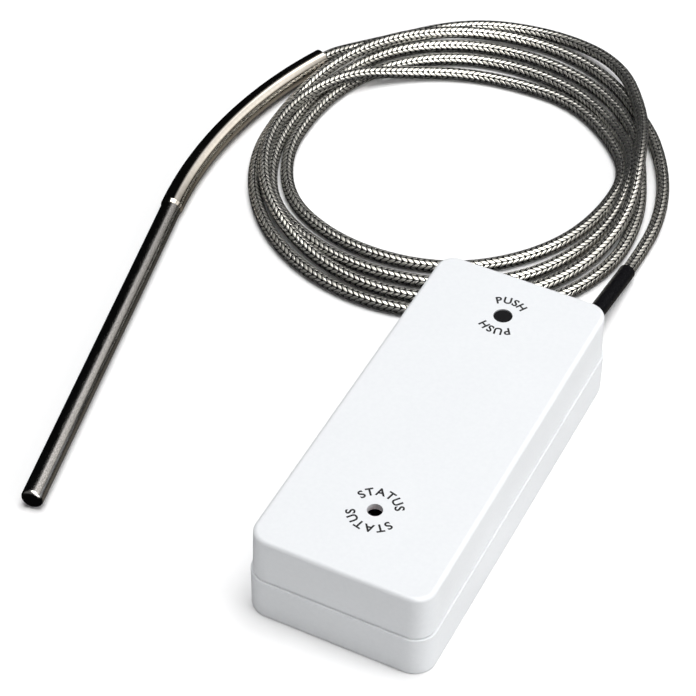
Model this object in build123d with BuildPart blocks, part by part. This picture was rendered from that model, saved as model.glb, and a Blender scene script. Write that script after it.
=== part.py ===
from build123d import *
from math import atan, cos, degrees, radians, sin, sqrt, tan
import os

# Heat detector: a two-shell wall box, and a metal probe on a braided cable.
# The origin is at the middle of the box's back, +Z is out of the wall, and
# +Y is the end of the box where the cable leaves. Millimetres.

os.makedirs("parts", exist_ok=True)

# ---- Box ----
case_width = 50.0
case_length = 115.0
case_height = 27.0
corner_radius = 6.0
parting_height = 12.8
floor_thickness = 2.2
roof_thickness = 1.9
rim_radius = 0.2
foot_radius = 0.5
cover_setback = 0.55
cover_taper = 0.30
cover_edge_radius = 1.2
parting_gap = 0.2
lip_thickness = 0.85
tongue_thickness = 1.0
tongue_height = 2.5
fit_clearance = 0.12
tongue_inset = cover_setback + lip_thickness + fit_clearance
inner_inset = tongue_inset + tongue_thickness
inner_half_width = case_width / 2 - inner_inset
inner_half_length = case_length / 2 - inner_inset
far_side = case_length / 2
near_side = -case_length / 2

# ---- Wall fixing and rear wire entry ----
wall_hole_diameter = 4.2
wall_hole_from_end = 7.2
entry_diameter = 9.0
entry_from_side = 11.5
entry_from_end = 10.5
entry_x = case_width / 2 - entry_from_side
entry_y = near_side + entry_from_end

# ---- Button and light ----
button_hole_diameter = 5.1
button_y = 41.0
button_clearance = 0.1
button_recess = 0.15
button_flange_width = 0.95
button_flange_height = 1.0
button_stem_diameter = 3.6
button_travel = 0.3
button_edge_radius = 0.35
flange_gap = 0.3
light_hole_diameter = 4.0
light_y = -35.2
light_recess = 3.0
lamp_diameter = 3.0
lamp_length = 5.0
lamp_rim_width = 0.4
lamp_rim_thickness = 1.0
lamp_tip_flat = 0.05

# ---- Circuit board ----
board_side_gap = 1.08
board_far_gap = 9.58
board_near_gap = 16.58
board_thickness = 1.6
board_bottom = 7.0
boss_diameter = 5.6
board_screw_diameter = 2.2
board_hole_clearance = 0.15
board_screw_length = 5.0
board_hole_spare = 0.6
board_corner_radius = 1.5
board_top = board_bottom + board_thickness
board_half_width = inner_half_width - board_side_gap
board_far_edge = inner_half_length - board_far_gap
board_near_edge = board_near_gap - inner_half_length
screw_column = board_half_width - 3.2
screw_places = [
    (-screw_column, board_near_edge + 4.0), (-screw_column, board_far_edge - 4.0),
    (screw_column, board_near_edge + 14.0), (screw_column, board_far_edge - 20.0),
]

# ---- Cable, black sleeve and clamp ----
cable_diameter = 3.8
cable_radius = cable_diameter / 2
boot_wall = 0.4
boot_clearance = 0.05
boot_diameter = cable_diameter + 2 * (boot_clearance + boot_wall)
boot_flange_width = 1.15
boot_flange_thickness = 1.4
boot_straight = 6.5
boot_slope_length = 33.0
boot_off_floor = 0.29
exit_from_side = 10.2
exit_height = 8.7
exit_x = case_width / 2 - exit_from_side
boot_bend_y = far_side + boot_straight
boot_end = (exit_x, boot_bend_y + boot_slope_length, boot_diameter / 2 + boot_off_floor)
clamp_width = 14.4
clamp_depth = 4.0
clamp_bar_thickness = 2.6
clamp_y = inner_half_length - 4.88
cable_start_y = clamp_y - 3.0
clamp_gap = 0.25
clamp_screw_spread = 5.2
clamp_screw_diameter = 2.0
clamp_screw_length = 6.0
clamp_hole_depth = 4.0
clamp_corner_radius = 0.8

# ---- Coil of cable ----
# The coil lies against the box's far left corner: its middle stays this far from the
# middle of that corner's rounding, and the rest of the free cable goes with it.
coil_from_corner = 73.077
coil_left_of_exit = 61.8
coil_right_of_corner = exit_x - coil_left_of_exit + case_width / 2 - corner_radius
coil_out = sqrt(coil_from_corner ** 2 - coil_right_of_corner ** 2) - corner_radius
coil_middle = (exit_x - coil_left_of_exit, far_side + coil_out)
coil_height = 8.4
coil_edges = [
    # compass angle, outer and inner distance of the cable's middle from the coil's middle
    (90.0, 70.4, 42.2), (67.5, 67.2, 44.5), (45.0, 58.6, 46.0), (22.5, 53.5, 48.0),
    (0.0, 55.0, 45.0), (-22.5, 60.3, 43.8), (-45.0, 63.0, 43.6), (-67.5, 64.2, 44.2),
    (-90.0, 65.1, 46.5), (-112.5, 64.6, 48.5), (-135.0, 61.7, 52.6), (-157.5, 59.4, 52.0),
    (-180.0, 57.2, 50.0), (-202.5, 57.4, 45.4), (-225.0, 64.2, 44.3), (-247.5, 68.5, 42.6),
]

# ---- Probe ----
probe_diameter = 6.0
probe_wall = 0.5
probe_length = 118.0
probe_tip_radius = 1.0
tip_wall = 1.0
spigot_step = 0.3
spigot_diameter = probe_diameter - 2 * spigot_step
sleeve_wall = 0.55
sleeve_clearance = 0.1
sleeve_bore = spigot_diameter + 2 * sleeve_clearance
sleeve_diameter = sleeve_bore + 2 * sleeve_wall
sleeve_bend_radius = 140.0
sleeve_bend_middle = (coil_middle[0] + 70.7, coil_middle[1] - 28.0)
sleeve_low_angle = 11.9
sleeve_high_angle = 22.0
sleeve_height = sleeve_diameter / 2
probe_insertion = 4.0
joint_ring_length = 1.2
potting_depth = 5.0
potting_recess = 1.0
cable_past_potting = 3.0
stripped_after = potting_recess + potting_depth + cable_past_potting
element_diameter = 2.8
element_length = 14.0
lead_diameter = 0.7
lead_spacing = 1.4
fill_clearance = 0.02

# ---- Free stretch of the cable, from the black sleeve to the coil ----
# Each step is a distance to the right of the cable's exit and out from the coil's
# middle. The cable touches the floor where the sleeve's slope, carried on,
# brings it down.
boot_fall = (exit_height - boot_end[2]) / boot_slope_length
touch_run = (boot_end[2] - cable_radius) / boot_fall
tail_steps = [(0.20, -10.5), (0.10, -1.5), (-1.60, 9.0), (-5.20, 20.0), (-10.60, 30.4), (-17.70, 40.6)]
tail_route = [boot_end, (exit_x, boot_end[1] + touch_run, cable_radius)]
tail_route += [(exit_x + right, coil_middle[1] + out, cable_radius) for right, out in tail_steps]


def save(builder, name):
    """Label the finished piece and write it as its own STEP file."""
    builder.part.label = name
    export_step(builder.part, f"parts/{name}.step")


def case_outline(inset, mode=Mode.ADD):
    """The box's rounded outline in plan, drawn in by an inset all round."""
    RectangleRounded(case_width - 2 * inset, case_length - 2 * inset, corner_radius - inset, mode=mode)


def upright(height):
    """A horizontal plane at a height above the wall."""
    return Plane.XY.offset(height)


def vector(start, end):
    return Vector(*end) - Vector(*start)


def bend_radii(route):
    """The largest radius that each corner's two runs allow, less a little."""
    radii = []
    for before, corner, after in zip(route, route[1:], route[2:]):
        run_in, run_out = vector(before, corner), vector(corner, after)
        half_turn = radians(run_in.get_angle(run_out)) / 2
        radii.append(0.45 * min(run_in.length, run_out.length) / tan(half_turn))
    return radii


# ---------------------------------------------------------------- base
with BuildPart() as base_shell:
    with BuildSketch():
        case_outline(0)
    extrude(amount=parting_height)
    fillet(base_shell.edges().group_by(Axis.Z)[-1], radius=rim_radius)
    fillet(base_shell.edges().group_by(Axis.Z)[0], radius=foot_radius)
    with BuildSketch(upright(floor_thickness)):
        case_outline(inner_inset)
    extrude(amount=parting_height, mode=Mode.SUBTRACT)
    with BuildSketch(upright(parting_height)):
        case_outline(tongue_inset)
        case_outline(inner_inset, mode=Mode.SUBTRACT)
    extrude(amount=tongue_height)
    with BuildSketch(upright(floor_thickness)):
        with Locations(*screw_places):
            Circle(boss_diameter / 2)
        with Locations((exit_x, clamp_y)):
            Rectangle(clamp_width, clamp_depth)
    extrude(amount=board_bottom - floor_thickness)
    with BuildSketch(upright(board_bottom)):
        with Locations((exit_x, clamp_y)):
            Rectangle(clamp_width, clamp_depth)
    extrude(amount=exit_height - clamp_gap - board_bottom)
    with Locations(*[(x, y, board_bottom) for x, y in screw_places]):
        Hole(radius=board_screw_diameter / 2, depth=board_screw_length - board_thickness + board_hole_spare)
    clamp_holes = [(exit_x + side * clamp_screw_spread, clamp_y) for side in (-1, 1)]
    with Locations(*[(x, y, exit_height - clamp_gap) for x, y in clamp_holes]):
        Hole(radius=clamp_screw_diameter / 2, depth=clamp_hole_depth)
    with BuildSketch(Plane(origin=(exit_x, clamp_y - clamp_depth, exit_height), z_dir=(0, 1, 0))):
        Circle(cable_radius + boot_clearance)
    extrude(amount=2 * clamp_depth, mode=Mode.SUBTRACT)
    with BuildSketch(Plane(origin=(exit_x, inner_half_length - 1, exit_height), z_dir=(0, 1, 0))):
        Circle(boot_diameter / 2 + boot_clearance)
    extrude(amount=inner_inset + 2, mode=Mode.SUBTRACT)
    wall_hole_y = case_length / 2 - wall_hole_from_end
    with Locations((0, wall_hole_y, floor_thickness), (0, -wall_hole_y, floor_thickness)):
        Hole(radius=wall_hole_diameter / 2)
    with Locations((entry_x, entry_y, floor_thickness)):
        Hole(radius=entry_diameter / 2)
save(base_shell, "base_shell")

# ---------------------------------------------------------------- cover
cover_bottom = parting_height + parting_gap
cover_rise = case_height - cover_bottom
roof_underside = case_height - roof_thickness
with BuildPart() as cover_shell:
    with BuildSketch(upright(cover_bottom)):
        case_outline(cover_setback)
    extrude(amount=cover_rise, taper=degrees(atan(cover_taper / cover_rise)))
    fillet(cover_shell.edges().group_by(Axis.Z)[-1], radius=cover_edge_radius)
    with BuildSketch(upright(cover_bottom)):
        case_outline(inner_inset)
    extrude(amount=roof_underside - cover_bottom, mode=Mode.SUBTRACT)
    with BuildSketch(upright(cover_bottom)):
        case_outline(tongue_inset - fit_clearance)
    extrude(amount=parting_height + tongue_height - cover_bottom, mode=Mode.SUBTRACT)
    with Locations((0, button_y, case_height)):
        Hole(radius=button_hole_diameter / 2, depth=2 * roof_thickness)
    with Locations((0, light_y, case_height)):
        Hole(radius=light_hole_diameter / 2, depth=2 * roof_thickness)
save(cover_shell, "cover_shell")

# ---------------------------------------------------------------- circuit board and its screws
with BuildPart() as circuit_board:
    with BuildSketch(upright(board_bottom)):
        with Locations((0, (board_far_edge + board_near_edge) / 2)):
            RectangleRounded(2 * board_half_width, board_far_edge - board_near_edge, board_corner_radius)
        with Locations(*screw_places):
            Circle(board_screw_diameter / 2 + board_hole_clearance, mode=Mode.SUBTRACT)
    extrude(amount=board_thickness)
save(circuit_board, "circuit_board")


def pan_screws(places, seat, diameter, length):
    """Small pan-head screws with a cross slot, driven down at each place."""
    head = 0.95 * diameter
    with BuildPart() as screws:
        with BuildSketch(upright(seat)):
            with Locations(*places):
                Circle(head)
        extrude(amount=0.6 * diameter)
        fillet(screws.edges().group_by(Axis.Z)[-1], radius=0.25 * diameter)
        with BuildSketch(upright(seat)):
            with Locations(*places):
                Circle(diameter / 2)
        extrude(amount=-length)
        with BuildSketch(upright(seat + 0.3 * diameter)):
            with Locations(*places):
                Rectangle(1.1 * diameter, 0.25 * diameter)
                Rectangle(0.25 * diameter, 1.1 * diameter)
        extrude(amount=diameter, mode=Mode.SUBTRACT)
    return screws


board_screws = pan_screws(screw_places, board_top, board_screw_diameter, board_screw_length)
save(board_screws, "board_screws")

# ---------------------------------------------------------------- test button and its switch
switch_size = 6.0
switch_height = 3.6
plunger_diameter = 3.2
plunger_rise = 1.6
plunger_pocket = 1.2
switch_corner_radius = 0.4
switch_top = board_top + switch_height
plunger_top = switch_top + plunger_rise
with BuildPart() as test_switch_body:
    with BuildSketch(upright(board_top)):
        with Locations((0, button_y)):
            RectangleRounded(switch_size, switch_size, switch_corner_radius)
    extrude(amount=switch_height)
    with BuildSketch(upright(switch_top)):
        with Locations((0, button_y)):
            Circle(plunger_diameter / 2 + button_clearance)
    extrude(amount=-(plunger_pocket + 2 * button_travel), mode=Mode.SUBTRACT)
save(test_switch_body, "test_switch_body")

with BuildPart() as test_switch_plunger:
    with BuildSketch(upright(plunger_top)):
        with Locations((0, button_y)):
            Circle(plunger_diameter / 2)
    extrude(amount=-(plunger_rise + plunger_pocket))
save(test_switch_plunger, "test_switch_plunger")

button_top = case_height - button_recess
flange_top = roof_underside - button_travel - flange_gap
with BuildPart() as test_button_cap:
    with BuildSketch(upright(plunger_top)):
        with Locations((0, button_y)):
            Circle(button_stem_diameter / 2)
    extrude(amount=button_top - plunger_top)
    with BuildSketch(upright(flange_top - button_flange_height)):
        with Locations((0, button_y)):
            Circle(button_hole_diameter / 2 + button_flange_width)
    extrude(amount=button_flange_height)
    with BuildSketch(upright(flange_top)):
        with Locations((0, button_y)):
            Circle(button_hole_diameter / 2 - button_clearance)
    extrude(amount=button_top - flange_top)
    fillet(test_button_cap.edges().group_by(Axis.Z)[-1], radius=button_edge_radius)
save(test_button_cap, "test_button_cap")

# ---------------------------------------------------------------- signal light
lamp_top = case_height - light_recess
lamp_rim_diameter = lamp_diameter + 2 * lamp_rim_width
lamp_rim_bottom = lamp_top - lamp_length
lamp_pin_spacing = 2.54
lamp_pin_width = 0.5
spacer_hole_diameter = 0.8
with BuildPart() as signal_lamp:
    with BuildSketch(upright(lamp_rim_bottom)):
        with Locations((0, light_y)):
            Circle(lamp_rim_diameter / 2)
    extrude(amount=lamp_rim_thickness)
    with BuildSketch(upright(lamp_rim_bottom + lamp_rim_thickness)):
        with Locations((0, light_y)):
            Circle(lamp_diameter / 2)
    extrude(amount=lamp_length - lamp_rim_thickness)
    fillet(signal_lamp.edges().group_by(Axis.Z)[-1], radius=lamp_diameter / 2 - lamp_tip_flat)
save(signal_lamp, "signal_lamp")

with BuildPart() as lamp_spacer:
    with BuildSketch(upright(board_top)):
        with Locations((0, light_y)):
            Circle(lamp_rim_diameter / 2)
            with GridLocations(lamp_pin_spacing, 0, 2, 1):
                Circle(spacer_hole_diameter / 2, mode=Mode.SUBTRACT)
    extrude(amount=lamp_rim_bottom - board_top)
save(lamp_spacer, "lamp_spacer")

with BuildPart() as lamp_pins:
    with BuildSketch(upright(board_top)):
        with Locations((0, light_y)):
            with GridLocations(lamp_pin_spacing, 0, 2, 1):
                Rectangle(lamp_pin_width, lamp_pin_width)
    extrude(amount=lamp_rim_bottom - board_top)
save(lamp_pins, "lamp_pins")

# ---------------------------------------------------------------- screw terminals
terminal_pitch = 5.0
terminal_depth = 8.0
terminal_height = 10.0
terminal_mouth_height = 3.0
terminal_mouth = 2.6
terminal_chamfer = 1.2
terminal_screw_diameter = 2.5
terminal_screw_length = 4.6
terminal_slot_depth = 0.6
terminal_slot_width = 0.6
well_clearance = 0.35
well_spare = 0.1
probe_terminal_place = (exit_x, board_far_edge - 10.5)
line_terminal_place = (entry_x, board_near_edge + 4.5)


def screw_terminal(place, mouth_side):
    """A two-way terminal block: a body with screw wells on top and wire mouths on one side."""
    x, y = place
    well_depth = terminal_height - terminal_mouth_height - terminal_mouth / 2 + well_spare
    with BuildPart() as block:
        with BuildSketch(upright(board_top)):
            with Locations(place):
                Rectangle(2 * terminal_pitch, terminal_depth)
        extrude(amount=terminal_height)
        chamfer(block.edges().group_by(Axis.Z)[-1].filter_by(Axis.X), length=terminal_chamfer)
        mouth_plane = Plane(
            origin=(x, y + mouth_side * terminal_depth / 2, board_top + terminal_mouth_height),
            x_dir=(1, 0, 0),
            z_dir=(0, mouth_side, 0),
        )
        with BuildSketch(mouth_plane):
            with GridLocations(terminal_pitch, 0, 2, 1):
                Rectangle(terminal_mouth, terminal_mouth)
        extrude(amount=-0.6 * terminal_depth, mode=Mode.SUBTRACT)
        with BuildSketch(upright(board_top + terminal_height)):
            with Locations(place):
                with GridLocations(terminal_pitch, 0, 2, 1):
                    Circle(terminal_screw_diameter / 2 + well_clearance)
        extrude(amount=-well_depth, mode=Mode.SUBTRACT)
    return block


def terminal_screws(place):
    """Slotted clamp screws standing in the wells of a terminal block."""
    well_bottom = board_top + terminal_mouth_height + terminal_mouth / 2
    with BuildPart() as screws:
        with BuildSketch(upright(well_bottom)):
            with Locations(place):
                with GridLocations(terminal_pitch, 0, 2, 1):
                    Circle(terminal_screw_diameter / 2)
        extrude(amount=terminal_screw_length)
        with BuildSketch(upright(well_bottom + terminal_screw_length - terminal_slot_depth)):
            with Locations(place):
                with GridLocations(terminal_pitch, 0, 2, 1):
                    Rectangle(terminal_screw_diameter, terminal_slot_width)
        extrude(amount=terminal_slot_depth, mode=Mode.SUBTRACT)
    return screws


save(screw_terminal(probe_terminal_place, 1), "probe_terminal_block")
save(terminal_screws(probe_terminal_place), "probe_terminal_screws")
save(screw_terminal(line_terminal_place, -1), "line_terminal_block")
save(terminal_screws(line_terminal_place), "line_terminal_screws")

# ---------------------------------------------------------------- parts soldered on the board
relay_place = (-12.5, -14.0)
relay_width = 15.5
relay_length = 20.5
relay_height = 11.5
relay_corner_radius = 0.6
relay_edge_radius = 0.5
with BuildPart() as alarm_relay:
    with BuildSketch(upright(board_top)):
        with Locations(relay_place):
            RectangleRounded(relay_width, relay_length, relay_corner_radius)
    extrude(amount=relay_height)
    fillet(alarm_relay.edges().group_by(Axis.Z)[-1], radius=relay_edge_radius)
save(alarm_relay, "alarm_relay")


def flat_chip(place, width, length, height, legs, pitch):
    """A moulded chip: a body with a row of bent legs down each long side."""
    with BuildPart() as chip:
        with BuildSketch(upright(board_top + 0.1)):
            with Locations(place):
                Rectangle(width, length)
        extrude(amount=height)
        chamfer(chip.edges().group_by(Axis.Z)[-1], length=0.2)
        with BuildSketch(upright(board_top)):
            with Locations(place):
                with GridLocations(width + 1.0, pitch, 2, legs):
                    Rectangle(1.4, 0.4 * pitch)
        extrude(amount=0.25)
    return chip


save(flat_chip((3.0, 6.0), 5.4, 10.2, 1.6, 14, 0.65), "microcontroller")
save(flat_chip((5.0, 24.0), 4.0, 5.0, 1.5, 4, 1.27), "probe_amplifier")
save(flat_chip((-14.0, 9.0), 5.6, 6.4, 2.2, 2, 2.3), "voltage_regulator")
save(flat_chip((1.5, -25.0), 4.2, 2.6, 2.1, 1, 3.0), "polarity_diode")

can_place = (12.0, -8.0)
can_diameter = 8.0
can_height = 10.5
can_edge_radius = 0.6
with BuildPart() as electrolytic_capacitor:
    with BuildSketch(upright(board_top)):
        with Locations(can_place):
            Circle(can_diameter / 2)
    extrude(amount=can_height)
    fillet(electrolytic_capacitor.edges().group_by(Axis.Z)[-1], radius=can_edge_radius)
save(electrolytic_capacitor, "electrolytic_capacitor")


def chip_row(middle, spacing, count, width, length, height):
    """A row of small surface-mounted bricks, all alike."""
    with BuildPart() as row:
        with BuildSketch(upright(board_top)):
            with Locations(middle):
                with GridLocations(0, spacing, 1, count):
                    Rectangle(width, length)
        extrude(amount=height)
    return row


save(chip_row((-4.5, 24.0), 2.6, 6, 2.0, 1.25, 1.1), "ceramic_capacitors")
save(chip_row((12.0, 8.0), 2.2, 8, 2.0, 1.25, 0.5), "resistors")

# ---------------------------------------------------------------- cable clamp
bar_bottom = exit_height + clamp_gap
with BuildPart() as clamp_bar:
    with BuildSketch(upright(bar_bottom)):
        with Locations((exit_x, clamp_y)):
            RectangleRounded(clamp_width, clamp_depth, clamp_corner_radius)
        with Locations(*clamp_holes):
            Circle(clamp_screw_diameter / 2 + board_hole_clearance, mode=Mode.SUBTRACT)
    extrude(amount=clamp_bar_thickness)
    with BuildSketch(Plane(origin=(exit_x, clamp_y - clamp_depth, exit_height), z_dir=(0, 1, 0))):
        Circle(cable_radius + boot_clearance)
    extrude(amount=2 * clamp_depth, mode=Mode.SUBTRACT)
save(clamp_bar, "clamp_bar")
clamp_bar_top = bar_bottom + clamp_bar_thickness
clamp_screws = pan_screws(clamp_holes, clamp_bar_top, clamp_screw_diameter, clamp_screw_length)
save(clamp_screws, "clamp_screws")

# ---------------------------------------------------------------- black sleeve on the cable
flange_y = inner_half_length - boot_flange_thickness
boot_route = [(exit_x, flange_y, exit_height), (exit_x, boot_bend_y, exit_height), boot_end]
boot_bend = bend_radii(boot_route)
with BuildPart() as cable_boot:
    with BuildLine() as boot_line:
        FilletPolyline(*boot_route, radius=boot_bend)
    with BuildSketch(Plane(origin=boot_route[0], z_dir=(0, 1, 0))):
        Circle(boot_diameter / 2)
        Circle(cable_radius + boot_clearance, mode=Mode.SUBTRACT)
    sweep(path=boot_line.line)
    with BuildSketch(Plane(origin=boot_route[0], z_dir=(0, 1, 0))):
        Circle(boot_diameter / 2 + boot_flange_width)
        Circle(cable_radius + boot_clearance, mode=Mode.SUBTRACT)
    extrude(amount=boot_flange_thickness)
save(cable_boot, "cable_boot")

inner_route = [(exit_x, cable_start_y, exit_height), *boot_route[1:]]
with BuildPart() as cable_in_boot:
    with BuildLine() as inner_line:
        FilletPolyline(*inner_route, radius=boot_bend)
    with BuildSketch(Plane(origin=inner_route[0], z_dir=(0, 1, 0))):
        Circle(cable_radius)
    sweep(path=inner_line.line)
save(cable_in_boot, "cable_in_boot")

# ---------------------------------------------------------------- inner leads to the terminal
inner_lead_diameter = 0.9
terminal_face_y = probe_terminal_place[1] + terminal_depth / 2
mouth_height = board_top + terminal_mouth_height
with BuildPart() as inner_leads:
    for side in (-1, 1):
        lead_route = [
            (exit_x + 0.8 * side, cable_start_y, exit_height + 0.5),
            (exit_x + 1.3 * side, cable_start_y - 2.6, exit_height + 1.7),
            (exit_x + terminal_pitch / 2 * side, terminal_face_y + 2.4, mouth_height),
            (exit_x + terminal_pitch / 2 * side, terminal_face_y - 3.0, mouth_height),
        ]
        with BuildLine() as lead_line:
            FilletPolyline(*lead_route, radius=1.2)
        start_direction = vector(lead_route[0], lead_route[1])
        with BuildSketch(Plane(origin=lead_route[0], z_dir=start_direction)):
            Circle(inner_lead_diameter / 2)
        sweep(path=lead_line.line)
    with BuildSketch(Plane(origin=(exit_x, cable_start_y, exit_height), z_dir=(0, 1, 0))):
        Circle(cable_diameter)
    extrude(amount=2.0, mode=Mode.SUBTRACT)
save(inner_leads, "inner_leads")

# ---------------------------------------------------------------- coil
coil_x, coil_y = coil_middle


def coil_outline(column, growth):
    """Closed smooth outline through the coil's edge distances, grown by half a cable."""
    points = []
    for row in coil_edges:
        reach = row[column] + growth
        angle = radians(row[0])
        points.append((coil_x + reach * cos(angle), coil_y + reach * sin(angle)))
    return points


with BuildPart() as cable_coil:
    with BuildSketch():
        with BuildLine():
            Spline(*coil_outline(1, cable_radius), periodic=True)
        make_face()
        with BuildLine():
            Spline(*coil_outline(2, -cable_radius), periodic=True)
        make_face(mode=Mode.SUBTRACT)
    extrude(amount=coil_height)
save(cable_coil, "cable_coil")

# ---------------------------------------------------------------- probe
sleeve_axis = Axis((*sleeve_bend_middle, 0), (0, 0, 1))


def sleeve_point(angle):
    """A point on the bent sleeve's middle line; the angle is measured from its leftmost point."""
    x, y = sleeve_bend_middle
    turn = radians(180 - angle)
    return (x + sleeve_bend_radius * cos(turn), y + sleeve_bend_radius * sin(turn), sleeve_height)


def sleeve_heading(angle):
    """The way that the sleeve runs there, towards the cable."""
    return (sin(radians(angle)), cos(radians(angle)), 0)


def sleeve_section(angle):
    """The plane across the sleeve there."""
    return Plane(origin=sleeve_point(angle), x_dir=(0, 0, 1), z_dir=sleeve_heading(angle))


def arc_angle(length):
    """Angle that a length takes along the sleeve's bend."""
    return degrees(length / sleeve_bend_radius)


sleeve_sweep = sleeve_low_angle + sleeve_high_angle
with BuildPart() as bent_sleeve:
    with BuildSketch(sleeve_section(-sleeve_low_angle)):
        Circle(sleeve_diameter / 2)
        Circle(sleeve_bore / 2, mode=Mode.SUBTRACT)
    revolve(axis=sleeve_axis, revolution_arc=-sleeve_sweep)
save(bent_sleeve, "bent_sleeve")

probe_heading = tuple(-value for value in sleeve_heading(-sleeve_low_angle))
joint_point = Vector(*sleeve_point(-sleeve_low_angle))


def probe_section(distance):
    """The plane across the straight probe, a distance from the joint towards the tip."""
    origin = joint_point + Vector(*probe_heading) * distance
    return Plane(origin=origin, x_dir=(0, 0, 1), z_dir=probe_heading)


with BuildPart() as probe_tube:
    with BuildSketch(probe_section(-probe_insertion)):
        Circle(spigot_diameter / 2)
    extrude(amount=probe_insertion + joint_ring_length)
    with BuildSketch(probe_section(joint_ring_length)):
        Circle(probe_diameter / 2)
    extrude(amount=probe_length - joint_ring_length)
    tip_face = probe_tube.faces().filter_by(GeomType.PLANE).sort_by(Axis.Y)[0]
    fillet(tip_face.edges(), radius=probe_tip_radius)
    with BuildSketch(probe_section(-probe_insertion)):
        Circle(probe_diameter / 2 - probe_wall)
    extrude(amount=probe_length + probe_insertion - tip_wall, mode=Mode.SUBTRACT)
save(probe_tube, "probe_tube")

with BuildPart() as joint_ring:
    with BuildSketch(probe_section(0)):
        Circle(sleeve_diameter / 2)
    with BuildSketch(probe_section(joint_ring_length)):
        Circle(probe_diameter / 2)
    loft()
    with BuildSketch(probe_section(0)):
        Circle(spigot_diameter / 2)
    extrude(amount=joint_ring_length, mode=Mode.SUBTRACT)
save(joint_ring, "joint_ring")

fill_start = 2.0
element_tip_gap = 1.0
fill_length = probe_length - tip_wall - fill_start
element_start = probe_length - tip_wall - element_tip_gap - element_length
with BuildPart() as sensing_element:
    with BuildSketch(probe_section(element_start)):
        Circle(element_diameter / 2)
    extrude(amount=element_length)
save(sensing_element, "sensing_element")

with BuildPart() as element_leads:
    for side in (-1, 1):
        with BuildSketch(probe_section(0)):
            with Locations((side * lead_spacing / 2, 0)):
                Circle(lead_diameter / 2)
        extrude(amount=element_start)
        with BuildSketch(sleeve_section(-sleeve_low_angle)):
            with Locations((side * lead_spacing / 2, 0)):
                Circle(lead_diameter / 2)
        revolve(axis=sleeve_axis, revolution_arc=-(sleeve_sweep - arc_angle(stripped_after)))
save(element_leads, "element_leads")

with BuildPart() as mineral_fill:
    with BuildSketch(probe_section(fill_start)):
        Circle(probe_diameter / 2 - probe_wall - fill_clearance)
    extrude(amount=fill_length)
    with BuildSketch(probe_section(element_start)):
        Circle(element_diameter / 2)
    extrude(amount=element_length, mode=Mode.SUBTRACT)
    with BuildSketch(probe_section(fill_start)):
        with GridLocations(lead_spacing, 0, 2, 1):
            Circle(lead_diameter / 2)
    extrude(amount=element_start - fill_start, mode=Mode.SUBTRACT)
save(mineral_fill, "mineral_fill")

with BuildPart() as cable_in_sleeve:
    with BuildSketch(sleeve_section(sleeve_high_angle)):
        Circle(cable_radius)
    revolve(axis=sleeve_axis, revolution_arc=arc_angle(stripped_after))
save(cable_in_sleeve, "cable_in_sleeve")

potting_angle = sleeve_high_angle - arc_angle(potting_recess)
with BuildPart() as sleeve_potting:
    with BuildSketch(sleeve_section(potting_angle)):
        Circle(sleeve_bore / 2)
        Circle(cable_radius, mode=Mode.SUBTRACT)
    revolve(axis=sleeve_axis, revolution_arc=arc_angle(potting_depth))
save(sleeve_potting, "sleeve_potting")

# ---------------------------------------------------------------- free stretches of the cable
lead_start = sleeve_point(sleeve_high_angle)
first_run = 4.3
coil_lead_steps = [(-54.9, 33.3, 0.55), (-51.5, 37.9, 0.0), (-47.4, 42.4, 0.0)]
straight_out = lead_start[0] + first_run * sin(radians(sleeve_high_angle))
lead_route = [
    lead_start,
    (straight_out, lead_start[1] + first_run * cos(radians(sleeve_high_angle)), sleeve_height),
]
lead_route += [(coil_x + right, coil_y + out, cable_radius + up) for right, out, up in coil_lead_steps]


def free_cable(name, route):
    """A plain round tube along straight runs joined by arcs, stopped at the coil."""
    with BuildPart() as tube:
        with BuildLine() as line:
            FilletPolyline(*route, radius=bend_radii(route))
        with BuildSketch(Plane(origin=route[0], z_dir=vector(route[0], route[1]))):
            Circle(cable_radius)
        sweep(path=line.line)
        add(cable_coil.part, mode=Mode.SUBTRACT)
    save(tube, name)


free_cable("cable_tail", tail_route)
free_cable("cable_lead", lead_route)
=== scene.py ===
import bpy
import numpy as np
from mathutils import Matrix, Vector


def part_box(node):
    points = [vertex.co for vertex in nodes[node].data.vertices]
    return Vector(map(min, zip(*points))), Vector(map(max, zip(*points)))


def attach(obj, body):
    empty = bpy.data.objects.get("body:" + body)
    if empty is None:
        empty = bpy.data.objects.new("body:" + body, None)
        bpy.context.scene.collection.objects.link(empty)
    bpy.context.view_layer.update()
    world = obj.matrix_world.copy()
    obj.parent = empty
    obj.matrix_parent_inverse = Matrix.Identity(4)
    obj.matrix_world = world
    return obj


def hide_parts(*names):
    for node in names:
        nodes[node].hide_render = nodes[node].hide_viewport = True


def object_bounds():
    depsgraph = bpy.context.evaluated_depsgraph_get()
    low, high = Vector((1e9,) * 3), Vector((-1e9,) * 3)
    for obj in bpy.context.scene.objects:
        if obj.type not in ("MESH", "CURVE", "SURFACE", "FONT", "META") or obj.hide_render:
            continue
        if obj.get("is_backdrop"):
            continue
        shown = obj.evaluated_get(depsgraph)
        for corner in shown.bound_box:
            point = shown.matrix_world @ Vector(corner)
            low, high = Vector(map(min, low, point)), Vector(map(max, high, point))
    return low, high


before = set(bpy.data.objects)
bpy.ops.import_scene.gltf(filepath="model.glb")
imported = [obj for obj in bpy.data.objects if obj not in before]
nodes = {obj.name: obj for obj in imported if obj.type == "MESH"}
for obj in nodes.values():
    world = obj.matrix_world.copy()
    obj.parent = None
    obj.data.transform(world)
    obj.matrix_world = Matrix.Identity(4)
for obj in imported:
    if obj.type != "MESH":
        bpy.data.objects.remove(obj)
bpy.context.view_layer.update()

millimetre = 0.001

# ---------------------------------------------------------------- case shells
# The base tray and the cover: two thin shells moulded in white plastic with a
# fine satin texture. The cover slips over the tray's tongue and is held by it.


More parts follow.
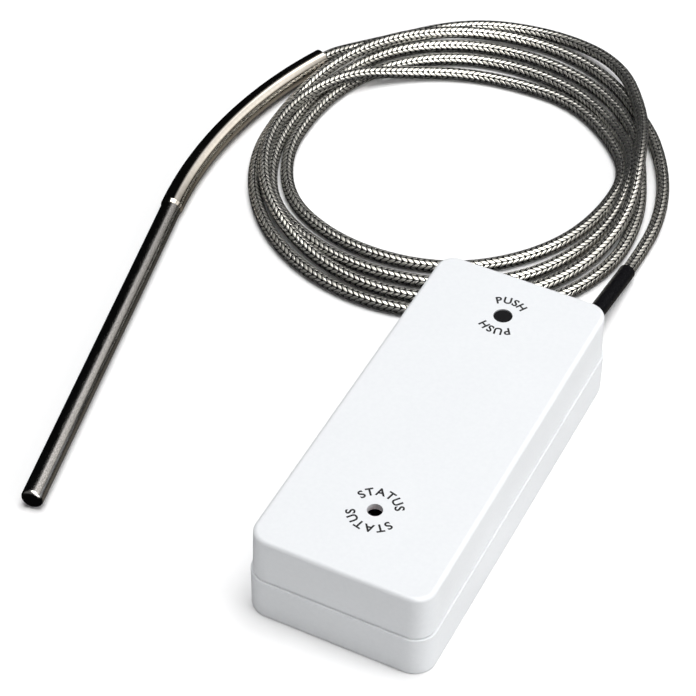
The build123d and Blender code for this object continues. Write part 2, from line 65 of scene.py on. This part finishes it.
def make_group(name, inputs, outputs):
    """An empty shader group with float, vector or colour sockets, in and out."""
    group = bpy.data.node_groups.new(name, "ShaderNodeTree")
    for direction, sockets in (("INPUT", inputs), ("OUTPUT", outputs)):
        for socket_name, kind in sockets:
            group.interface.new_socket(socket_name, in_out=direction, socket_type="NodeSocket" + kind)
    return group, group.nodes.new("NodeGroupInput"), group.nodes.new("NodeGroupOutput")


def calculate(tree, operation, *values):
    """A Math node: each value is a number or another node's output."""
    node = tree.nodes.new("ShaderNodeMath")
    node.operation = operation
    for socket, value in zip(node.inputs, values):
        if isinstance(value, (int, float)):
            socket.default_value = value
        else:
            tree.links.new(value, socket)
    return node.outputs[0]


def noise(tree, vector, scale, detail=3.0):
    """Noise between 0 and 1; the scale is a number or another node's output."""
    node = tree.nodes.new("ShaderNodeTexNoise")
    node.inputs["Detail"].default_value = detail
    tree.links.new(vector, node.inputs["Vector"])
    if isinstance(scale, (int, float)):
        node.inputs["Scale"].default_value = scale
    else:
        tree.links.new(scale, node.inputs["Scale"])
    return node.outputs["Fac"]


def build_grain():
    """Grain: tone is mid-sized noise, relief is noise five times finer, and
    handling is noise sixteen times coarser, for gloss that changes slowly."""
    group, start, end = make_group(
        "grain", [("Vector", "Vector"), ("Grains per metre", "Float")],
        [("Tone", "Float"), ("Relief", "Float"), ("Handling", "Float")])
    vector, size = start.outputs[:2]
    for socket, factor, detail in (("Tone", 1.0, 4.0), ("Relief", 5.0, 2.0), ("Handling", 1 / 16, 2.0)):
        grains = calculate(group, "MULTIPLY", size, factor)
        group.links.new(noise(group, vector, grains, detail), end.inputs[socket])
    return group


grain = build_grain()


def blank_material(name, **constants):
    """A material with its Principled shader; the constants are set on its sockets."""
    material = bpy.data.materials.new(name)
    material.use_nodes = True
    shader = material.node_tree.nodes["Principled BSDF"]
    for socket, value in constants.items():
        shader.inputs[socket.replace("_", " ")].default_value = value
    return material, material.node_tree, shader


def mix_colours(tree, factor, first, second):
    """A colour between two; each is four numbers or another node's output."""
    node = tree.nodes.new("ShaderNodeMix")
    node.data_type = "RGBA"
    tree.links.new(factor, node.inputs["Factor"])
    for socket, value in ((node.inputs[6], first), (node.inputs[7], second)):
        if isinstance(value, tuple):
            socket.default_value = value
        else:
            tree.links.new(value, socket)
    return node.outputs[2]


def spread(tree, value, low, high, start=0.0, end=1.0):
    """Carries a value from one span to another, held at its ends."""
    node = tree.nodes.new("ShaderNodeMapRange")
    for socket, number in zip(node.inputs[1:5], (start, end, low, high)):
        socket.default_value = number
    tree.links.new(value, node.inputs[0])
    return node.outputs[0]


def raise_surface(tree, shader, height, depth):
    """Turns a height into the shader's normal; depth is in metres."""
    bump = tree.nodes.new("ShaderNodeBump")
    bump.inputs["Distance"].default_value = depth
    tree.links.new(height, bump.inputs["Height"])
    tree.links.new(bump.outputs["Normal"], shader.inputs["Normal"])


def grained(name, light, dark, gloss, grains, depth, stretch=(1, 1, 1), turn=0.0, **constants):
    """A material whose colour runs from dark to light with the grain's tone, and
    whose roughness runs over the gloss pair with handling. The stretch squeezes
    the grain along X, Y and Z after a turn about Z, for drawn or brushed metal."""
    material, tree, shader = blank_material(name, **constants)
    place = tree.nodes.new("ShaderNodeTexCoord")
    mapping = tree.nodes.new("ShaderNodeMapping")
    mapping.inputs["Rotation"].default_value = (0, 0, turn)
    mapping.inputs["Scale"].default_value = stretch
    tree.links.new(place.outputs["Object"], mapping.inputs["Vector"])
    pattern = tree.nodes.new("ShaderNodeGroup")
    pattern.node_tree = grain
    pattern.inputs["Grains per metre"].default_value = grains
    tree.links.new(mapping.outputs[0], pattern.inputs["Vector"])
    tone = spread(tree, pattern.outputs["Tone"], 0.0, 1.0, 0.32, 0.68)
    tree.links.new(mix_colours(tree, tone, (*dark, 1), (*light, 1)), shader.inputs["Base Color"])
    tree.links.new(spread(tree, pattern.outputs["Handling"], *gloss, 0.3, 0.7), shader.inputs["Roughness"])
    raise_surface(tree, shader, pattern.outputs["Relief"], depth)
    return material


def dress(material, *names):
    """Gives CAD nodes their material."""
    for name in names:
        slots = nodes[name].data.materials
        slots.clear()
        slots.append(material)


case_white = grained("case_white", (0.795, 0.812, 0.828), (0.775, 0.792, 0.81), (0.34, 0.44), 900, 1.2e-5)
dress(case_white, "base_shell", "cover_shell")

# ---------------------------------------------------------------- circuit board
# A green glass-fibre board with copper tracks under its lacquer, on four posts
# of the base and held by four small cross-head screws, zinc plated.
track_pitch = 2.54 * millimetre


def build_board_material():
    """Tracks: the edges of stretched square cells on the board's plane, a little
    lighter than the lacquer; grain gives the weave of the laminate."""
    material, tree, shader = blank_material("board_laminate", Coat_Weight=0.5, Coat_Roughness=0.12)
    place = tree.nodes.new("ShaderNodeTexCoord")
    cells = tree.nodes.new("ShaderNodeTexVoronoi")
    cells.feature = "DISTANCE_TO_EDGE"
    cells.inputs["Scale"].default_value = 1 / track_pitch
    cells.inputs["Randomness"].default_value = 0.75
    tree.links.new(place.outputs["Object"], cells.inputs["Vector"])
    track = spread(tree, cells.outputs["Distance"], 1.0, 0.0, 0.06, 0.1)
    weave = noise(tree, place.outputs["Object"], 2600, 2.0)
    lacquer = mix_colours(tree, weave, (0.012, 0.12, 0.05, 1), (0.02, 0.17, 0.075, 1))
    tree.links.new(mix_colours(tree, track, lacquer, (0.06, 0.30, 0.13, 1)), shader.inputs["Base Color"])
    tree.links.new(spread(tree, weave, 0.28, 0.42), shader.inputs["Roughness"])
    raise_surface(tree, shader, track, 3.5e-5)
    return material


dress(build_board_material(), "circuit_board")
zinc = grained("zinc_plate", (0.74, 0.74, 0.70), (0.58, 0.58, 0.56), (0.24, 0.42), 2400, 6e-6, Metallic=1.0)
dress(zinc, "board_screws", "clamp_screws", "probe_terminal_screws", "line_terminal_screws")

# ---------------------------------------------------------------- parts on the board
# Bought-in parts soldered down: two screw terminals, the alarm relay, chips, a
# can capacitor and rows of small bricks, each in its maker's usual finish.
dress(grained("terminal_green", (0.07, 0.34, 0.15), (0.05, 0.27, 0.12), (0.38, 0.52), 1500, 1.5e-5),
      "probe_terminal_block", "line_terminal_block")
dress(grained("relay_blue", (0.055, 0.13, 0.33), (0.04, 0.105, 0.27), (0.2, 0.34), 1200, 8e-6), "alarm_relay")
dress(grained("chip_black", (0.05, 0.05, 0.054), (0.028, 0.028, 0.031), (0.5, 0.66), 4200, 1.2e-5),
      "microcontroller", "probe_amplifier", "voltage_regulator", "polarity_diode")
dress(grained("can_aluminium", (0.78, 0.79, 0.81), (0.66, 0.67, 0.69), (0.2, 0.32), 1800, 5e-6,
              stretch=(1, 1, 0.08), Metallic=1.0), "electrolytic_capacitor")
dress(grained("capacitor_ceramic", (0.66, 0.53, 0.38), (0.55, 0.43, 0.30), (0.4, 0.6), 5200, 8e-6),
      "ceramic_capacitors")
dress(grained("resistor_coating", (0.075, 0.075, 0.085), (0.04, 0.04, 0.05), (0.3, 0.5), 5200, 8e-6),
      "resistors")

# ---------------------------------------------------------------- signal light
# A 3 mm lamp of tinted resin under the cover's smaller hole, unlit, on a black
# spacer with its two tinned pins through it.
dress(grained("lamp_resin", (0.30, 0.03, 0.025), (0.20, 0.02, 0.018), (0.06, 0.14), 700, 2e-6, IOR=1.5),
      "signal_lamp")
dress(grained("tinned_wire", (0.76, 0.76, 0.74), (0.62, 0.62, 0.60), (0.26, 0.4), 3200, 5e-6,
              stretch=(1, 1, 0.1), Metallic=1.0), "lamp_pins")

# ---------------------------------------------------------------- test button
# The black cap that stands just below the cover's face, and the small push
# switch under it, whose plunger it presses.
moulded_black = grained("moulded_black", (0.034, 0.034, 0.036), (0.02, 0.02, 0.022), (0.42, 0.58), 2600,
                        1.4e-5)
dress(moulded_black, "test_switch_body", "test_switch_plunger", "lamp_spacer", "clamp_bar")
dress(grained("button_black", (0.006, 0.006, 0.007), (0.003, 0.003, 0.004), (0.5, 0.65), 2600, 1e-5,
              Specular_IOR_Level=0.15), "test_button_cap")

# ---------------------------------------------------------------- printed legends
# Rings of small black capitals pad-printed round the button and the light. Each
# ring says its word twice, once from either end of the box.
ink_height = 0.02 * millimetre
letter_height = 2.5 * millimetre
letter_gap = 0.42 * millimetre
letter_foot_radius = 4.85 * millimetre
letter_boldness = 0.028
printed_ink = grained("printed_ink", (0.010, 0.010, 0.012), (0.004, 0.004, 0.005), (0.5, 0.7), 6000, 4e-6)


def letter_mesh(character):
    """One flat capital as a mesh's points and faces, its foot on the X axis, its
    left edge at zero, scaled so that a capital H is one letter high."""
    curve = bpy.data.curves.new("letter", "FONT")
    curve.body = character
    curve.offset = letter_boldness
    curve.resolution_u = 4
    source = bpy.data.objects.new("letter", curve)
    bpy.context.scene.collection.objects.link(source)
    bpy.context.view_layer.update()
    mesh = bpy.data.meshes.new_from_object(source)
    points = np.empty(len(mesh.vertices) * 3)
    mesh.vertices.foreach_get("co", points)
    points = points.reshape(-1, 3)[:, :2]
    faces = [tuple(face.vertices) for face in mesh.polygons]
    bpy.data.objects.remove(source)
    bpy.data.meshes.remove(mesh)
    return points, faces


capital_points = letter_mesh("H")[0]
letter_scale = letter_height / (capital_points[:, 1].max() - capital_points[:, 1].min())


def legend_ring(word, middle):
    """Letters side by side round a circle: each letter's middle is turned by its
    distance along the word over the radius of half its height, once about the
    far side and once, half a turn on, about the near side."""
    shapes = []
    for character in word:
        points, faces = letter_mesh(character)
        points = points * letter_scale
        points[:, 0] -= points[:, 0].min()
        shapes.append((points, faces, points[:, 0].max()))
    total = sum(width for _, _, width in shapes) + letter_gap * (len(shapes) - 1)
    reading_radius = letter_foot_radius + letter_height / 2
    all_points, all_faces, count = [], [], 0
    for half_turn in (0.0, np.pi):
        along = -total / 2
        for points, faces, width in shapes:
            angle = half_turn - (along + width / 2) / reading_radius
            across, out = points[:, 0] - width / 2, points[:, 1] + letter_foot_radius
            all_points.append(np.stack([
                middle[0] + across * np.cos(angle) - out * np.sin(angle),
                middle[1] + across * np.sin(angle) + out * np.cos(angle),
                np.full(len(points), middle[2])], axis=1))
            all_faces += [tuple(index + count for index in face) for face in faces]
            count += len(points)
            along += width + letter_gap
    return np.concatenate(all_points), all_faces


def make_piece(name, points, faces, material, smooth=True):
    """Puts worked-out points and faces into a mesh object in the scene."""
    mesh = bpy.data.meshes.new(name)
    mesh.from_pydata(points.tolist(), [], faces)
    mesh.polygons.foreach_set("use_smooth", np.full(len(mesh.polygons), smooth))
    mesh.materials.append(material)
    mesh.update()
    piece = bpy.data.objects.new(name, mesh)
    bpy.context.scene.collection.objects.link(piece)
    return piece


cover_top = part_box("cover_shell")[1][2]
for word, name, under in (("PUSH", "button_legend", "test_button_cap"),
                          ("STATUS", "light_legend", "signal_lamp")):
    low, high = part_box(under)
    middle = ((low[0] + high[0]) / 2, (low[1] + high[1]) / 2, cover_top + ink_height)
    legend = make_piece(name, *legend_ring(word, middle), printed_ink, smooth=False)
    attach(legend, "cover")

# ---------------------------------------------------------------- black sleeve and inner leads
# A glossy black heat-shrunk sleeve stiffens the cable where it leaves the box.
# Inside, the cable's two insulated leads run from the clamp to the terminal.
dress(grained("sleeve_black", (0.008, 0.008, 0.009), (0.004, 0.004, 0.005), (0.16, 0.28), 1400, 2.5e-5,
              Specular_IOR_Level=0.12), "cable_boot")
dress(grained("lead_insulation", (0.74, 0.72, 0.66), (0.62, 0.60, 0.54), (0.42, 0.56), 2600, 1.2e-5),
      "inner_leads", "element_leads")

# ---------------------------------------------------------------- braided cable
# One free length of round cable with a woven steel jacket, from the black
# sleeve, four and a half times round the coil, and into the probe's bent sleeve.
cable_diameter = 3.8 * millimetre
weave_pitch = 1.75 * millimetre
weave_columns = 8
strand_lean = 0.95
strand_dive = 0.75
strand_edge = (0.50, 0.68)
wires_in_strand = 5
wire_relief = 0.09
weave_depth = 1.05e-4
tube_sides = 24
coil_middle = (-0.047, 0.119)
from_box = [
    (0.0148, 0.0970, 0.00264), (0.0148, 0.10103, 0.0019), (0.0150, 0.1085, 0.0019), (0.0149, 0.1175, 0.0019),
    (0.0132, 0.1280, 0.0019), (0.0096, 0.1390, 0.0019), (0.0042, 0.1494, 0.0019), (-0.0029, 0.1596, 0.0019),
]
to_probe = [
    (-0.0944, 0.1614, 0.0019), (-0.0985, 0.1569, 0.0019), (-0.1019, 0.1523, 0.00245),
    (-0.1045, 0.1474, 0.00335), (-0.1061, 0.14344, 0.00335),
]
turn_step = np.pi / 8
turn_start = 3 * turn_step
coil_turns = [
    # distance from the coil's middle and height, in millimetres, a sixteenth of a turn apart
    [(62.2, 1.9), (64.2, 1.9), (62.6, 3.6), (59.5, 5.5), (57.8, 5.2), (57.4, 2.4), (60.6, 1.9), (62.9, 1.9),
     (64.6, 1.9), (65.1, 1.9), (64.2, 1.9), (63.0, 1.9), (60.3, 1.9), (55.6, 1.9), (52.4, 1.9), (54.9, 1.9)],
    [(56.0, 1.9), (56.5, 1.9), (57.6, 1.9), (58.0, 1.9), (55.2, 1.9), (53.6, 1.9), (55.7, 1.9), (57.9, 1.9),
     (55.2, 1.9), (53.0, 1.9), (52.0, 1.9), (51.0, 1.9), (49.3, 1.9), (48.9, 1.9), (50.5, 6.1), (49.9, 1.9)],
    [(50.0, 1.9), (49.8, 1.9), (50.8, 1.9), (51.2, 1.9), (50.4, 1.9), (49.7, 1.9), (51.6, 1.9), (52.4, 1.9),
     (49.2, 1.9), (46.5, 1.9), (45.0, 1.9), (43.6, 1.9), (43.8, 1.9), (45.0, 1.9), (48.5, 1.9), (46.0, 1.9)],
    [(45.0, 1.9), (42.2, 1.9), (42.8, 1.9), (45.0, 2.4), (50.2, 6.0), (55.4, 5.4), (58.0, 5.8), (59.5, 5.3),
     (59.0, 2.2), (59.4, 1.9), (58.3, 1.9), (57.0, 1.9), (54.8, 2.6), (53.0, 5.4), (51.6, 9.7), (57.4, 6.0)],
    [(66.2, 5.6), (70.0, 1.9), (68.5, 1.9)],
]


def coil_points():
    """Control points round the coil: distance and height from the table, each an
    equal turn on; a spline runs inside its control points by the mean of one and
    the cosine of the step, a quarter of the way, so the distances make it up."""
    table = np.concatenate([np.array(turn) for turn in coil_turns]) * millimetre
    angle = turn_start + turn_step * np.arange(len(table))
    reach = table[:, 0] / (0.75 + 0.25 * np.cos(turn_step))
    return np.stack([coil_middle[0] + reach * np.cos(angle), coil_middle[1] + reach * np.sin(angle),
                     table[:, 1]], 1)


def spline_points(route):
    """The line of the NURBS spline that has the route as its control points."""
    curve = bpy.data.curves.new("cable_route", "CURVE")
    curve.dimensions = "3D"
    curve.resolution_u = 8
    spline = curve.splines.new("NURBS")
    spline.points.add(len(route) - 1)
    spline.points.foreach_set("co", np.column_stack([route, np.ones(len(route))]).ravel())
    spline.order_u = 3
    spline.use_endpoint_u = True
    source = bpy.data.objects.new("cable_route", curve)
    bpy.context.scene.collection.objects.link(source)
    bpy.context.view_layer.update()
    mesh = bpy.data.meshes.new_from_object(source)
    points = np.empty(len(mesh.vertices) * 3)
    mesh.vertices.foreach_get("co", points)
    bpy.data.objects.remove(source)
    bpy.data.meshes.remove(mesh)
    return points.reshape(-1, 3)


def round_tube(line, radius, sides):
    """A circle carried along a line: each ring stands across the line's direction,
    its first point level with the line, and the last ring of texture places is
    the distance along the line and the turn round it."""
    heading = np.gradient(line, axis=0)
    heading /= np.linalg.norm(heading, axis=1, keepdims=True)
    level = np.cross(heading, (0.0, 0.0, 1.0))
    level /= np.linalg.norm(level, axis=1, keepdims=True)
    upright = np.cross(level, heading)
    turn = -np.pi / 2 + 2 * np.pi * np.arange(sides) / sides
    rings = line[:, None] + radius * (
        np.cos(turn)[None, :, None] * level[:, None] + np.sin(turn)[None, :, None] * upright[:, None])
    ring, side = np.meshgrid(np.arange(len(line) - 1), np.arange(sides), indexing="ij")
    following = (side + 1) % sides
    quads = np.stack([ring * sides + side, (ring + 1) * sides + side,
                      (ring + 1) * sides + following, ring * sides + following], -1).reshape(-1, 4)
    distance = np.concatenate([[0.0], np.cumsum(np.linalg.norm(np.diff(line, axis=0), axis=1))])
    near, far = distance[ring], distance[ring + 1]
    here, beyond = side / sides, (side + 1) / sides
    places = np.stack([np.stack([near, here], -1), np.stack([far, here], -1),
                       np.stack([far, beyond], -1), np.stack([near, beyond], -1)], 2).reshape(-1, 2)
    return rings.reshape(-1, 3), quads, places


def build_braid():
    """Braid: columns of slanted strands round the cable, leaning the other way in
    every other column. A strand's ridge falls off with the cube of the distance
    from its middle and dives at its column's edges; fine wires run along it. The
    strand mask falls to nought in the gaps, which are given painted shade; the
    shade output is a random tone per strand plus a painted highlight on each wire's crest."""
    group, start, end = make_group(
        "braid", [("Along", "Float"), ("Round", "Float"), ("Columns", "Float")],
        [("Strand", "Float"), ("Height", "Float"), ("Shade", "Float")])
    along, around, columns = start.outputs[:3]
    column_place = calculate(group, "MULTIPLY", around, columns)
    column = calculate(group, "FLOOR", column_place)
    across = calculate(group, "SUBTRACT", column_place, column)
    every_other = calculate(group, "MULTIPLY", calculate(group, "MODULO", column, 2.0), 2.0)
    lean = calculate(group, "SUBTRACT", every_other, 1.0)
    slant = calculate(group, "MULTIPLY", calculate(group, "SUBTRACT", across, 0.5),
                      calculate(group, "MULTIPLY", lean, strand_lean))
    strand_place = calculate(group, "ADD", along, slant)
    strand = calculate(group, "FLOOR", strand_place)
    within = calculate(group, "SUBTRACT", strand_place, strand)
    off_middle = calculate(group, "ABSOLUTE", calculate(
        group, "SUBTRACT", calculate(group, "MULTIPLY", within, 2.0), 1.0))
    off_column = calculate(group, "ABSOLUTE", calculate(
        group, "SUBTRACT", calculate(group, "MULTIPLY", across, 2.0), 1.0))
    ridge = calculate(group, "SUBTRACT", 1.0, calculate(group, "POWER", off_middle, 3.0))
    dive = calculate(group, "SUBTRACT", 1.0, calculate(
        group, "MULTIPLY", calculate(group, "POWER", off_column, 3.0), strand_dive))
    turns = calculate(group, "MULTIPLY", within, 2 * np.pi * wires_in_strand)
    wires = calculate(group, "MULTIPLY", calculate(group, "SINE", turns), wire_relief)
    height = calculate(group, "ADD", calculate(group, "MULTIPLY", ridge, dive), wires)
    group.links.new(height, end.inputs["Height"])
    body = spread(group, calculate(group, "MULTIPLY", ridge, dive), 0.0, 1.0, *strand_edge)
    group.links.new(body, end.inputs["Strand"])
    pick = group.nodes.new("ShaderNodeCombineXYZ")
    group.links.new(strand, pick.inputs[0])
    group.links.new(column, pick.inputs[1])
    chance = group.nodes.new("ShaderNodeTexWhiteNoise")
    chance.noise_dimensions = "2D"
    group.links.new(pick.outputs[0], chance.inputs["Vector"])
    # a random tone per strand, plus the wires' relief as a painted highlight on each wire's crest
    shade = calculate(group, "ADD", calculate(group, "MULTIPLY", chance.outputs["Value"], 0.7), wires)
    group.links.new(shade, end.inputs["Shade"])
    return group


def woven_steel(name, along, around, columns):
    """Bright tinned wire, with a painted highlight on each fine wire's crest, over
    gaps filled with near-black painted shade; the place along and round the cable
    come from the outputs that the caller names, in its own tree."""
    material, tree, shader = blank_material(name, Specular_IOR_Level=0.08)
    pattern = tree.nodes.new("ShaderNodeGroup")
    pattern.node_tree = braid
    pattern.inputs["Columns"].default_value = columns
    tree.links.new(along(tree), pattern.inputs["Along"])
    tree.links.new(around(tree), pattern.inputs["Round"])
    # wire colour: random tone per strand, lighter on each fine wire's crest as a painted highlight
    wire = mix_colours(tree, pattern.outputs["Shade"], (0.66, 0.655, 0.62, 1), (1.0, 0.995, 0.97, 1))
    strand = pattern.outputs["Strand"]
    # near-black, non-metallic colour where the strand mask falls off: painted shade in the gaps of the weave
    tree.links.new(mix_colours(tree, strand, (0.003, 0.003, 0.003, 1), wire), shader.inputs["Base Color"])
    tree.links.new(spread(tree, strand, 0.0, 0.96), shader.inputs["Metallic"])
    tree.links.new(spread(tree, pattern.outputs["Shade"], 0.32, 0.18), shader.inputs["Roughness"])
    raise_surface(tree, shader, pattern.outputs["Height"], weave_depth)
    return material


def uv_part(index, factor):
    """One of the two texture places, times a factor."""
    def part(tree):
        layer = tree.nodes.new("ShaderNodeUVMap")
        layer.uv_map = "along_and_round"
        split = tree.nodes.new("ShaderNodeSeparateXYZ")
        tree.links.new(layer.outputs[0], split.inputs[0])
        return calculate(tree, "MULTIPLY", split.outputs[index], factor)
    return part


def object_part(index, factor):
    """One of the object's own coordinates, times a factor."""
    def part(tree):
        place = tree.nodes.new("ShaderNodeTexCoord")
        split = tree.nodes.new("ShaderNodeSeparateXYZ")
        tree.links.new(place.outputs["Object"], split.inputs[0])
        return calculate(tree, "MULTIPLY", split.outputs[index], factor)
    return part


braid = build_braid()
route = np.concatenate([np.array(from_box), coil_points(), np.array(to_probe)])
cable_line = spline_points(route)
tube_points, tube_quads, tube_places = round_tube(cable_line, cable_diameter / 2, tube_sides)
tube_faces = tube_quads.tolist()
last_ring = len(tube_points) - tube_sides
tube_faces += [list(range(tube_sides)), list(range(last_ring + tube_sides - 1, last_ring - 1, -1))]
braid_jacket = woven_steel("woven_steel", uv_part(0, 1 / weave_pitch), uv_part(1, 1.0), weave_columns)
cable = make_piece("braided_cable", tube_points, tube_faces, braid_jacket)
cap_places = np.zeros((2 * tube_sides, 2))
layer = cable.data.uv_layers.new(name="along_and_round")
layer.data.foreach_set("uv", np.concatenate([tube_places, cap_places]).ravel())
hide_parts("cable_tail", "cable_coil", "cable_lead")
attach(cable, "housing")

# the stretches hidden in the black sleeve and in the bent steel sleeve
hidden_braid = woven_steel("woven_steel_hidden", object_part(1, 1 / weave_pitch),
                           object_part(0, 1 / (cable_diameter * 3.14)), weave_columns)
dress(hidden_braid, "cable_in_boot", "cable_in_sleeve")

# ---------------------------------------------------------------- probe
# A straight satin steel sheath with a rounded closed tip, brazed with a small
# ring into a polished bent steel sleeve; packed with powder round the element.
probe_turn = np.radians(-11.9)
polished = grained("polished_steel", (0.80, 0.765, 0.715), (0.74, 0.70, 0.65), (0.07, 0.14), 900, 1.5e-6,
                   Metallic=1.0)
satin = grained("satin_steel", (0.66, 0.65, 0.645), (0.36, 0.355, 0.36), (0.15, 0.22), 5200, 5e-6,
                stretch=(1, 0.45, 1), turn=probe_turn, Metallic=1.0)
dress(polished, "bent_sleeve", "joint_ring")
dress(satin, "probe_tube")
dress(grained("sensor_ceramic", (0.88, 0.86, 0.80), (0.80, 0.78, 0.72), (0.5, 0.7), 3000, 1e-5),
      "sensing_element")
dress(grained("mineral_powder", (0.86, 0.85, 0.81), (0.76, 0.75, 0.70), (0.8, 0.95), 5200, 4e-5),
      "mineral_fill")
dress(grained("potting_resin", (0.18, 0.135, 0.09), (0.12, 0.09, 0.06), (0.2, 0.4), 1600, 2e-5),
      "sleeve_potting")

# ---------------------------------------------------------------- floor, light and camera
# A plain pale floor, a wide soft light overhead and a softer one from the right.
# Polished metal mirrors a studio of its own: a bright strip, a dark left side and a
# dim front, so that it gets its dark edge.
floor_size = 8.0
floor_points = np.array([(-1, -1, 0), (1, -1, 0), (1, 1, 0), (-1, 1, 0)]) * floor_size / 2 - (0, 0, 5e-5)
pale_floor = grained("pale_floor", (1.0, 1.0, 1.0), (0.985, 0.985, 0.985), (0.8, 0.9), 40, 1e-6)
floor = make_piece("floor", floor_points, [(0, 1, 2, 3)], pale_floor, smooth=False)
floor.visible_glossy = False
floor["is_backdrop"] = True

object_middle = Vector((-0.043, 0.036, 0.0))


def soft_light(name, place, width, power, colour=(1, 1, 1)):
    """A square area light that faces the object and stays out of reflections."""
    light = bpy.data.lights.new(name, "AREA")
    light.size = width
    light.energy = power
    light.color = colour
    lamp = bpy.data.objects.new(name, light)
    lamp.location = place
    lamp.rotation_euler = (Vector(place) - object_middle).to_track_quat("Z", "Y").to_euler()
    lamp.visible_glossy = False
    bpy.context.scene.collection.objects.link(lamp)


soft_light("overhead_light", (0.10, 0.18, 2.0), 1.4, 40.0)
soft_light("right_light", (1.1, 0.15, 0.45), 0.8, 6.5)

world = bpy.data.worlds.new("studio")
world.use_nodes = True
bpy.context.scene.world = world
tree = world.node_tree
tree.nodes.clear()
direction = tree.nodes.new("ShaderNodeTexCoord").outputs["Generated"]
split = tree.nodes.new("ShaderNodeSeparateXYZ")
tree.links.new(direction, split.inputs[0])
lean = calculate(tree, "ARCTAN2", split.outputs[0], split.outputs[2])
sweep = tree.nodes.new("ShaderNodeValToRGB")
tree.links.new(spread(tree, lean, 0.0, 1.0, -np.pi, np.pi), sweep.inputs[0])
studio_sweep = [
    # lean from overhead towards the right, in degrees, and what is seen there
    (-180, (0.05, 0.05, 0.05)), (-150, (0.003, 0.003, 0.003)), (-12, (0.003, 0.003, 0.003)),
    (-3, (0.40, 0.39, 0.38)), (6, (0.95, 0.92, 0.88)), (54, (1.30, 1.25, 1.17)), (64, (0.60, 0.55, 0.47)),
    (70, (0.05, 0.045, 0.04)), (108, (0.09, 0.085, 0.075)), (124, (0.17, 0.15, 0.12)),
    (150, (0.22, 0.20, 0.17)),
    (180, (0.05, 0.05, 0.05)),
]
ramp = sweep.color_ramp
while len(ramp.elements) < len(studio_sweep):
    ramp.elements.new(0.5)
for element, (degrees, colour) in zip(ramp.elements, studio_sweep):
    element.position = (degrees + 180) / 360
    element.color = (*colour, 1)
behind = calculate(tree, "MULTIPLY", spread(tree, split.outputs[1], 0.0, 1.0, 0.15, 0.45),
                   spread(tree, split.outputs[1], 1.0, 0.0, 0.70, 0.86))
swept = mix_colours(tree, behind, (0.004, 0.004, 0.004, 1), sweep.outputs[0])
off_strip = calculate(tree, "ABSOLUTE", calculate(
    tree, "SUBTRACT", calculate(tree, "ADD", split.outputs[0], split.outputs[1]), 0.15))
along_strip = calculate(tree, "SUBTRACT", split.outputs[0], split.outputs[1])
strip = calculate(tree, "MULTIPLY", spread(tree, off_strip, 1.0, 0.0, 0.45, 0.70),
                  spread(tree, along_strip, 0.0, 1.0, -0.60, -0.25))
strip = calculate(tree, "MULTIPLY", strip, spread(tree, split.outputs[2], 0.0, 1.0, -0.1, 0.25))
in_front = calculate(tree, "MULTIPLY", spread(tree, split.outputs[1], 1.0, 0.0, -0.45, -0.10),
                     spread(tree, split.outputs[2], 0.0, 1.0, -0.2, 0.2))
swept = mix_colours(tree, in_front, swept, (0.16, 0.155, 0.15, 1))
mirrored = mix_colours(tree, strip, swept, (4.6, 4.5, 4.25, 1))
kind = tree.nodes.new("ShaderNodeLightPath")
seen = mix_colours(tree, kind.outputs["Is Glossy Ray"], (0.17, 0.17, 0.175, 1), mirrored)
seen = mix_colours(tree, kind.outputs["Is Camera Ray"], seen, (1.0, 1.0, 1.0, 1))
background = tree.nodes.new("ShaderNodeBackground")
tree.links.new(seen, background.inputs[0])
tree.links.new(background.outputs[0], tree.nodes.new("ShaderNodeOutputWorld").inputs[0])

azimuth, elevation, roll = np.radians((26.353, 44.698, 0.439))
camera_distance = 0.65703
focal_ratio = 3.4293534482758623
aim = Vector((-0.04301, 0.03621, 0.0))
back = Vector((np.sin(azimuth) * np.cos(elevation), -np.cos(azimuth) * np.cos(elevation), np.sin(elevation)))
right = Vector((np.cos(azimuth), np.sin(azimuth), 0.0))
up = back.cross(right)
camera_x = np.cos(roll) * right + np.sin(roll) * up
camera_y = -np.sin(roll) * right + np.cos(roll) * up
lens = bpy.data.cameras.new("camera")
lens.sensor_width = 36.0
lens.lens = lens.sensor_width * focal_ratio
lens.clip_start = 0.01
lens.clip_end = 20.0
camera = bpy.data.objects.new("camera", lens)
camera.matrix_world = Matrix.Translation(aim + back * camera_distance) @ Matrix(
    (camera_x, camera_y, back)).transposed().to_4x4()
bpy.context.scene.collection.objects.link(camera)
bpy.context.scene.camera = camera
bpy.context.scene.view_settings.view_transform = "Standard"

low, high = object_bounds()
